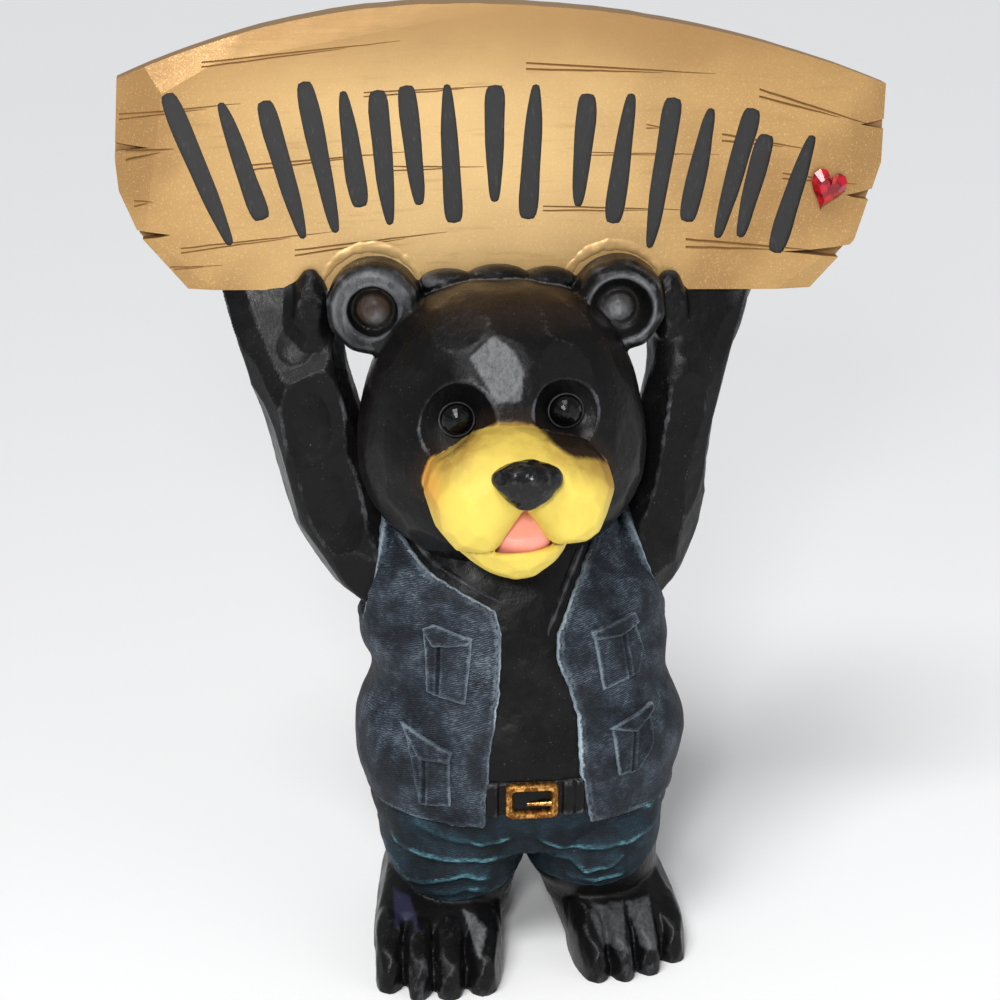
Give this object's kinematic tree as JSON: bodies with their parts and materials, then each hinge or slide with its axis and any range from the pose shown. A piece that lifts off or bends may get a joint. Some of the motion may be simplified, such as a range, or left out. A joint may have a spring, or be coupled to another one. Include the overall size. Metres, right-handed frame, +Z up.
{
  "type": "garden bear statue",
  "caption": "Standing cartoon bear in a denim vest and jeans that holds a wide arched board over its head, cast in resin with a carved-wood look.",
  "frame": {"origin": "centre of the bounding box at the soles of the feet", "axes": "+Z up, the bear faces -Y, +X to the right as seen from the front"},
  "size_m": [0.4106, 0.1896, 0.5146],
  "materials": {
    "painted_resin": "cast resin painted satin black, with a gold-tan board, blue clothes and a yellow muzzle",
    "eye_gloss": "gloss black dome",
    "red_gem": "clear red faceted acrylic"
  },
  "bodies": {
    "root": {"bear_with_sign": "painted_resin", "left_eye": "eye_gloss", "right_eye": "eye_gloss", "heart_gem": "red_gem"}
  },
  "joints": []
}
